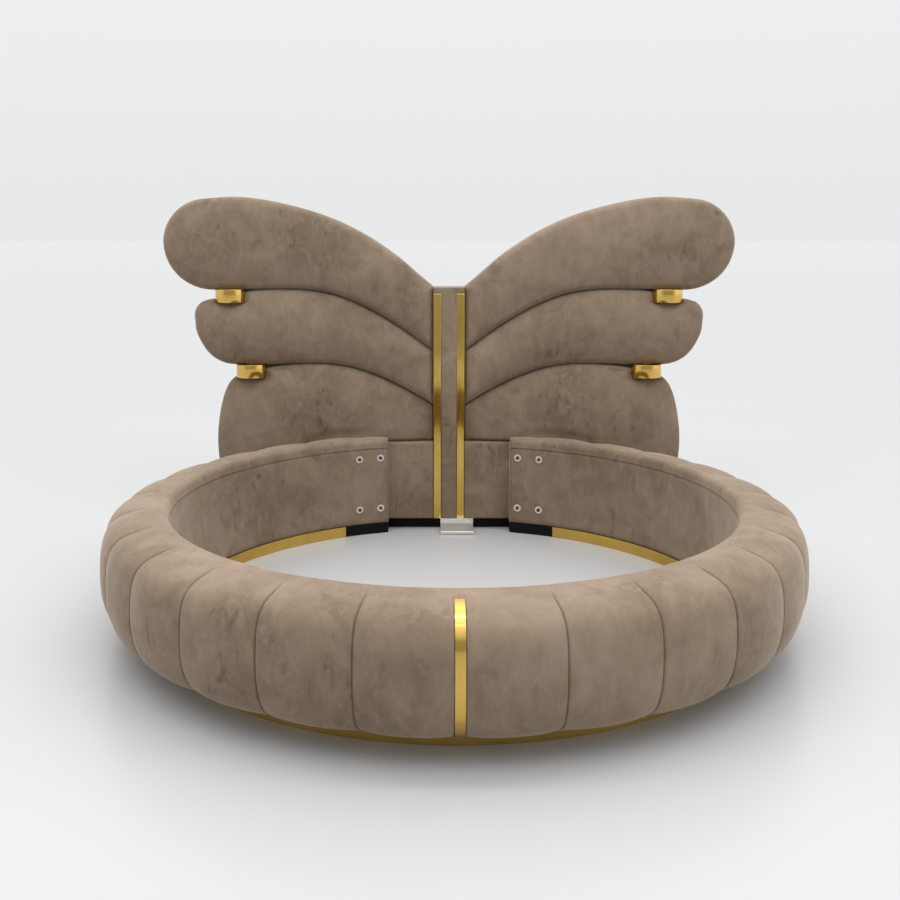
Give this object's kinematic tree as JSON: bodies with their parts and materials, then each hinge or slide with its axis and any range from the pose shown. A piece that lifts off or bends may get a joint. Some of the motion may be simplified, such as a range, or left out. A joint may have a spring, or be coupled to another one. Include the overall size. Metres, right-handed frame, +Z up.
{
  "type": "round upholstered bed frame with winged headboard",
  "caption": "Round bed frame of two channelled, upholstered half rings with a brass plinth band, bolted to a tall headboard of overlapping wing lobes parted by brass drums.",
  "frame": {"origin": "centre of the bounding box on the floor; the centre of the round mattress well lies 0.041 m from it along +Y", "axes": "+X to the bed's right as seen from its front end, +Y from the front of the ring towards the headboard, +Z up"},
  "size_m": [2.5654, 2.36, 1.511],
  "materials": {
    "velvet": "taupe velvet with a mottled nap",
    "brass": "polished brass",
    "black_base": "black satin paint",
    "plywood": "raw plywood",
    "softwood": "planed softwood",
    "steel": "bright zinc plate",
    "galvanised": "dull galvanised steel",
    "lining": "black woven lining"
  },
  "bodies": {
    "root": {"front_strip": "brass", "front_joint_bolts": "steel", "right_rail_pad": "velvet", "left_rail_pad": "velvet", "right_rail_inner_cover": "velvet", "left_rail_inner_cover": "velvet", "right_rail_inner_board": "plywood", "left_rail_inner_board": "plywood", "right_rail_outer_board": "plywood", "left_rail_outer_board": "plywood", "right_rail_base_board": "plywood", "left_rail_base_board": "plywood", "right_rail_top_board": "plywood", "left_rail_top_board": "plywood", "right_rail_formers": "plywood", "left_rail_formers": "plywood", "right_rail_plinth": "black_base", "left_rail_plinth": "black_base", "right_inner_base_band": "brass", "left_inner_base_band": "brass", "right_outer_base_band": "brass", "left_outer_base_band": "brass", "right_upper_wing_pad": "velvet", "left_upper_wing_pad": "velvet", "right_middle_wing_pad": "velvet", "left_middle_wing_pad": "velvet", "right_lower_wing_pad": "velvet", "left_lower_wing_pad": "velvet", "right_upper_wing_frame": "plywood", "left_upper_wing_frame": "plywood", "right_middle_wing_frame": "plywood", "left_middle_wing_frame": "plywood", "right_lower_wing_frame": "plywood", "left_lower_wing_frame": "plywood", "right_upper_drum": "brass", "left_upper_drum": "brass", "right_lower_drum": "brass", "left_lower_drum": "brass", "drum_rods": "steel", "spine": "softwood", "column_pad": "velvet", "right_upright_strip": "brass", "left_upright_strip": "brass", "right_lower_panel_pad": "velvet", "left_lower_panel_pad": "velvet", "right_lower_panel_frame": "plywood", "left_lower_panel_frame": "plywood", "back_board": "plywood", "back_lining": "lining", "headboard_plinth": "black_base", "beam_bracket": "galvanised", "bracket_screws": "steel", "right_corner_block": "softwood", "left_corner_block": "softwood", "lap_bolts": "steel", "lap_washers": "steel", "lap_inserts": "steel"}
  },
  "joints": []
}
